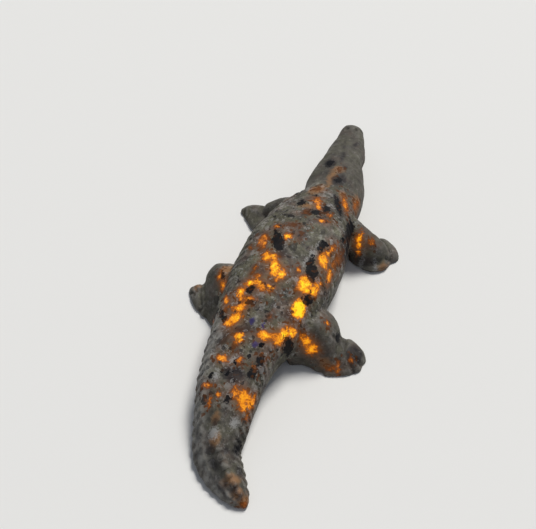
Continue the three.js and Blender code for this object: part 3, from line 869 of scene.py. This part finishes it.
# a short name for each kind of node: its type, the inputs filled in order, the output used, its settings
node_kinds = {
    "coordinates": ("ShaderNodeTexCoord", (), "Object", {}),
    "mapping": ("ShaderNodeMapping", ("Vector", "Scale"), 0, {}),
    "attribute": ("ShaderNodeAttribute", (), "Fac", {}),
    "noise": ("ShaderNodeTexNoise", ("Vector", "Scale", "Detail", "Roughness"), 0, {}),
    "noise colour": ("ShaderNodeTexNoise", ("Vector", "Scale", "Detail"), 1, {}),
    "cells": ("ShaderNodeTexVoronoi", ("Vector", "Scale"), "Color", {}),
    "channel": ("ShaderNodeSeparateColor", (0,), 0, {}),
    "add": ("ShaderNodeMath", (0, 1), 0, {"operation": "ADD"}),
    "subtract": ("ShaderNodeMath", (0, 1), 0, {"operation": "SUBTRACT"}),
    "multiply": ("ShaderNodeMath", (0, 1), 0, {"operation": "MULTIPLY"}),
    "larger": ("ShaderNodeMath", (0, 1), 0, {"operation": "MAXIMUM"}),
    "add vectors": ("ShaderNodeVectorMath", (0, 1), 0, {"operation": "ADD"}),
    "multiply vectors": ("ShaderNodeVectorMath", (0, 1), 0, {"operation": "MULTIPLY"}),
    # value, from low, to high, and what these become: 0 and 1 unless they are given
    "spread": ("ShaderNodeMapRange", (0, 1, 2, 3, 4), 0, {"interpolation_type": "SMOOTHSTEP"}),
    # share, the colour below, the colour above: the colour sockets of a Mix node are 6, 7 and 2
    "mix": ("ShaderNodeMix", (0, 6, 7), 2, {"data_type": "RGBA"}),
    "tint": ("ShaderNodeMix", (0, 6, 7), 2, {"data_type": "RGBA", "blend_type": "MULTIPLY"}),
    "bump": ("ShaderNodeBump", ("Height", "Strength", "Distance"), 0, {}),
}


def linear(hex_colour):
    """An sRGB hex colour as the linear values that the renderer works in."""
    parts = np.array([int(hex_colour[start:start + 2], 16) / 255 for start in (1, 3, 5)])
    values = np.where(parts <= 0.04045, parts / 12.92, ((parts + 0.055) / 1.055) ** 2.4)
    return (*values, 1)


def node(kind, *values, output=None, **settings):
    """Adds one node of a kind, with its settings, fills its inputs in order and gives back one of its
    outputs. A value that is a socket is linked to its input, and any other becomes the input's value."""
    type_name, inputs, usual_output, usual_settings = node_kinds[kind]
    made = rock.nodes.new(type_name)
    for name, value in {**usual_settings, **settings}.items():
        setattr(made, name, value)
    for name, value in zip(inputs, values):
        if isinstance(value, bpy.types.NodeSocket):
            rock.links.new(value, made.inputs[name])
        else:
            made.inputs[name].default_value = value
    return made.outputs[usual_output if output is None else output]


place_mm = node("mapping", node("coordinates"), (1 / millimetre,) * 3)
attribute = {name: node("attribute", attribute_name=name) for name in attributes}
print("attributes that the stone reads:", ", ".join(attribute))

# %% Colours of the grains and of their light
# sRGB values, as on a paint chart
colours = {
    "dark feldspar": "#363432", "brown feldspar": "#504c46", "grey feldspar": "#666259",
    "light feldspar": "#908c83", "olive cast": "#f2f6e0", "rose cast": "#ffeae6", "brown stain and painted glow": "#5e4233",
    "worn edge": "#8c8982", "painted shade in cuts": "#2a2825", "calm stone": "#4e4b45", "worn teeth": "#8e8c86",
    "rust": "#946b45", "dusky": "#201d21", "pale": "#a5a4a1", "blue": "#2c2766", "black": "#121215",
    "sodalite": "#4a2a12", "no glow": "#000000", "faint glow": "#5a3018", "dull glow": "#a8560f",
    "orange glow": "#e0800a", "amber glow": "#f8a412", "yellow glow": "#ffe41c"}
colour = {name: linear(value) for name, value in colours.items()}
print("colours:", len(colour))

# %% [markdown]
# Four sizes of noise stand for four things: clouds in the rock about 4 mm wide, a change between an olive
# and a rose cast over about 3 mm, grains of about a millimetre, and the mottle inside a grain, which is
# drawn as coarse as it needs to be to show. Crystal cells with straight borders lie between them. Noise
# bends the borders, because real crystals hinder each other as they grow.

# %% Noise and crystals
cloud_size, cast_size, grain_size, mottle_size = 4.2, 3.1, 1.1, 0.38  # millimetres
clouds = node("noise", place_mm, 1 / cloud_size, 3, 0.55)
cast = node("noise", place_mm, 1 / cast_size, 2)
grain = node("noise", place_mm, 1 / grain_size, 3, 0.6)
mottle = node("noise", place_mm, 1 / mottle_size, 2, 0.6)
crystal_size, speck_size, border_bend = 1.5, 0.65, 0.8  # millimetres
bend = node("multiply vectors", node("noise colour", place_mm, 1 / grain_size, 2), (border_bend,) * 3)
bent_place = node("add vectors", place_mm, bend)
cell_values = []
for size in (crystal_size, speck_size):
    random_colour = node("cells", bent_place, 1 / size)
    cell_values.append([node("channel", random_colour, output=channel) for channel in range(3)])
(crystal_grey, crystal_black, crystal_pale), (speck_grey, speck_black, speck_pale) = cell_values
print("noise and crystals:", len(rock.nodes), "nodes so far")

# %% Grey groundmass
# calm stone shows less of its crystals
lively = node("subtract", 1.0, node("multiply", attribute["calm"], 0.6))
crystal_part = node("multiply", node("subtract", crystal_grey, 0.5), 0.08)
speck_part = node("multiply", node("subtract", speck_grey, 0.5), 0.07)
cell_grey = node("add", crystal_part, speck_part)
stone_grey = node("multiply", clouds, 0.38)
for pattern, share in ((grain, 0.42), (mottle, 0.26), (cell_grey, lively)):
    stone_grey = node("add", stone_grey, node("multiply", pattern, share))
# each feldspar takes over from the one before as the grey goes from one value to the other
ground = colour["dark feldspar"]
for name, start, end in (
        ("brown feldspar", 0.36, 0.48), ("grey feldspar", 0.46, 0.58), ("light feldspar", 0.57, 0.72)):
    ground = node("mix", node("spread", stone_grey, start, end), ground, colour[name])
ground = node("tint", node("spread", cast, 0.56, 0.40, 0.0, 0.8), ground, colour["olive cast"])
ground = node("tint", node("spread", cast, 0.52, 0.66, 0.0, 0.8), ground, colour["rose cast"])
print("groundmass:", len(rock.nodes), "nodes so far")

# %% [markdown]
# A brown stain spreads round each glowing grain, where the rock has weathered, and the glow's light
# that shines through it is painted into the colour as more of that brown. Standing edges are paler, as
# wear and as a painted highlight, and the cuts are darker with painted shade.
# The grains are laid over all that, the soft ones first and the black ones last. Noise frays the rims of
# the hard grains by about half a millimetre.

# %% Stain and painted glow, wear, painted highlight and painted shade
fray = node("add", node("multiply", grain, 1.4), node("multiply", mottle, 1.2))
fray = node("add", fray, node("multiply", speck_grey, 0.7))
fray = node("subtract", fray, 1.5)  # about its mean, so that a rim moves both ways
glow_depth = node("add", attribute["glow"], fray)
# round each glowing grain a real stain, and where its halo reaches, the glow's light painted in as brown
stain_and_glow_light = node("larger", node("spread", glow_depth, -1.0, 0.1), node("spread", attribute["haze"], 0.0, 0.3))
stain_and_glow_light = node("multiply", stain_and_glow_light, node("spread", clouds, 0.38, 0.62, 0.25, 0.8))
for name, share in (
        ("brown stain and painted glow", stain_and_glow_light),
        # standing edges paler: wear and a painted highlight
        ("worn edge", node("spread", attribute["edge"], 0.01, 0.07, 0.0, 0.45)),
        # cuts darker: painted shade
        ("painted shade in cuts", node("spread", attribute["edge"], -0.01, -0.07, 0.0, 0.5)),
        ("calm stone", node("multiply", attribute["calm"], 0.4)),
        # the tail's left band of teeth paler: painted light
        ("worn teeth", node("multiply", attribute["worn"], node("spread", grain, 0.35, 0.6, 0.25, 0.85)))):
    ground = node("mix", share, ground, colour[name])
print("stain and wear:", len(rock.nodes), "nodes so far")

# %% Shares of the grains
soft_fray = node("multiply", node("subtract", grain, 0.5), 2.0)
pale_depth = node("add", attribute["pale"], node("multiply", node("subtract", mottle, 0.5), 2.2))
pale_share = node("spread", pale_depth, -0.4, 0.6, 0.0, 0.7)
pale_specks = node("spread", node("add", speck_pale, mottle), 1.42, 1.5, 0.0, 0.4)
pale_crystals = node("spread", node("add", crystal_pale, grain), 1.34, 1.52, 0.0, 0.3)
for strewn in (pale_specks, pale_crystals):
    pale_share = node("larger", pale_share, node("multiply", strewn, lively))
# black crystals and specks keep out of the glowing grains, and both keep out of the pale ones
black_crystals = node("spread", crystal_black, 0.983, 0.989)
black_crystals = node("multiply", black_crystals, node("spread", glow_depth, 0.1, -0.4))
black_specks = node("spread", speck_black, 0.95, 0.96, 0.0, 0.7)
black_specks = node("multiply", black_specks, node("spread", glow_depth, 0.9, 0.4))
black_cells = node("larger", black_crystals, black_specks)
black_cells = node("multiply", black_cells, node("spread", pale_depth, 0.2, -0.3))
black_depth = node("add", attribute["black"], node("multiply", fray, 0.8))
black_share = node("spread", black_depth, -0.1, 0.1, 0.0, 0.97)
black_share = node("larger", black_share, node("multiply", black_cells, lively))
blue_depth = node("add", attribute["blue"], node("multiply", fray, 0.7))
for name, share in (
        ("rust", node("spread", node("add", attribute["rust"], soft_fray), -0.7, 0.6, 0.0, 0.68)),
        ("dusky", node("spread", node("add", attribute["dusky"], soft_fray), -0.5, 0.4, 0.0, 0.75)),
        ("pale", pale_share),
        ("blue", node("spread", blue_depth, -0.1, 0.3, 0.0, 0.8)),
        ("black", black_share)):
    ground = node("mix", share, ground, colour[name])
print("grains:", len(rock.nodes), "nodes so far")

# %% [markdown]
# The glow is light that the stone itself gives off, from a dull brown orange at a grain's rim to yellow
# in the heart of the hottest. A lamp inside would need a hollow stone. Emission needs none, and its
# strength stays 1, because the colours already are what reaches the eye.

# %% Glow
satellites = node("multiply", node("spread", speck_grey, 0.84, 0.88), node("spread", glow_depth, -1.5, -0.3))
inside = node("larger", node("spread", glow_depth, -0.18, 0.2), satellites)
not_black = node("subtract", 1.0, black_share)
core = node("spread", glow_depth, -0.1, 1.25, 0.36, 1.08)
flicker = node("add", grain, node("multiply", mottle, 0.9))
hotness = node("multiply", node("multiply", attribute["hotness"], core), node("add", flicker, 0.1))
ember = colour["faint glow"]
for name, start, end in (
        ("dull glow", 0.02, 0.22), ("orange glow", 0.18, 0.45), ("amber glow", 0.42, 0.78),
        ("yellow glow", 0.75, 1.15)):
    ember = node("mix", node("spread", hotness, start, end), ember, colour[name])
ground = node("mix", node("multiply", inside, 0.85), ground, colour["sodalite"])
glow_strength = node("spread", hotness, 0.0, 0.56, 0.1, 0.98)
glow_strength = node("multiply", node("multiply", inside, not_black), glow_strength)
halo = node("multiply", node("multiply", attribute["haze"], not_black), 0.5)
glow_light = node("mix", halo, colour["no glow"], colour["orange glow"])
glow_light = node("mix", glow_strength, glow_light, ember)
print("glow:", len(rock.nodes), "nodes so far")

# %% A soft polish
sheen = 0.1  # weak, and the refractive index stays at the shader's 1.5, which is feldspar's too
scratch_strength, scratch_height = 0.6, 0.2  # share, millimetres
dullness = node("spread", mottle, 0.3, 0.7, 0.5, 0.7)  # the harder grains take more polish than the soft
scratches = node("add", node("multiply", grain, 0.5), node("multiply", mottle, 0.5))
skin_bump = node("bump", scratches, scratch_strength, scratch_height * millimetre)
looks = {"Base Color": ground, "Emission Color": glow_light, "Roughness": dullness, "Normal": skin_bump}
for name, socket in looks.items():
    rock.links.new(socket, shader.inputs[name])
shader.inputs["Emission Strength"].default_value = 1
shader.inputs["Specular IOR Level"].default_value = sheen
mesh.materials.append(stone)
print("the stone has", len(rock.nodes), "nodes")

# %% [markdown]
# ## Floor, light and camera
#
# The carving lies on plain pale card. One large soft lamp stands high before its head, so the side
# towards the camera is in gentle shade and the glow can be seen. The camera looks from behind the tail,
# and its lens is worked out from a focal length in pixels of a picture 536 pixels wide.

# %% Floor, light and camera
floor_half = 3  # metres
floor_corners = [(-floor_half, -floor_half, 0), (floor_half, -floor_half, 0),
                 (floor_half, floor_half, 0), (-floor_half, floor_half, 0)]
floor_mesh = bpy.data.meshes.new("floor")
floor_mesh.from_pydata(floor_corners, [], [(0, 1, 2, 3)])
floor = bpy.data.objects.new("floor", floor_mesh)
bpy.context.scene.collection.objects.link(floor)
# card is pressed from paper pulp and left uncoated, so it scatters light evenly and hardly shines
paper = bpy.data.materials.new("matt_white_card")
paper.use_nodes = True
paper_shader = paper.node_tree.nodes["Principled BSDF"]
paper_shader.inputs["Base Color"].default_value = linear("#e7e6e2")
paper_shader.inputs["Roughness"].default_value = 0.9
paper_shader.inputs["Specular IOR Level"].default_value = 0.2
floor_mesh.materials.append(paper)

camera_distance = 0.19  # metres
focal_pixels, picture_width, sensor_width = 850, 536, 36  # pixels, pixels, millimetres
back = Vector(to_camera)
aim_aside, aim_height = -6.5, 5  # millimetres, the first in the carver's frame
aim = Vector(((aim_aside + shift[0] / millimetre) * millimetre, shift[1], aim_height * millimetre))
camera_data = bpy.data.cameras.new("camera")
camera = bpy.data.objects.new("camera", camera_data)
bpy.context.scene.collection.objects.link(camera)
camera.location = aim + back * camera_distance
camera.rotation_mode = "QUATERNION"
camera.rotation_quaternion = (-back).to_track_quat("-Z", "Y")
camera_data.lens = focal_pixels / picture_width * sensor_width
camera_data.clip_start = 0.01
bpy.context.scene.camera = camera

world = bpy.data.worlds.new("soft_room")
world.use_nodes = True
world.node_tree.nodes["Background"].inputs["Color"].default_value = (0.8, 0.86, 1, 1)
world.node_tree.nodes["Background"].inputs["Strength"].default_value = 0.26
bpy.context.scene.world = world
lamp_elevation, lamp_distance = np.radians(55), 6  # the distance in metres
lamp_aside = 0.11  # to the animal's right, as a share of the way ahead
to_lamp = Vector((lamp_aside * np.cos(lamp_elevation), np.cos(lamp_elevation), np.sin(lamp_elevation)))
lamp_data = bpy.data.lights.new("softbox", "AREA")
lamp_data.energy = 346  # watts
lamp_data.size = 1.9  # metres
lamp_data.color = (1, 0.985, 0.96)
lamp = bpy.data.objects.new("softbox", lamp_data)
lamp.location = to_lamp * lamp_distance
lamp.rotation_mode = "QUATERNION"
lamp.rotation_quaternion = to_lamp.to_track_quat("Z", "Y")
bpy.context.scene.collection.objects.link(lamp)
bpy.context.scene.view_settings.view_transform = "Standard"
print("camera at", [round(value, 3) for value in camera.location], "lens", round(camera_data.lens, 1), "mm")
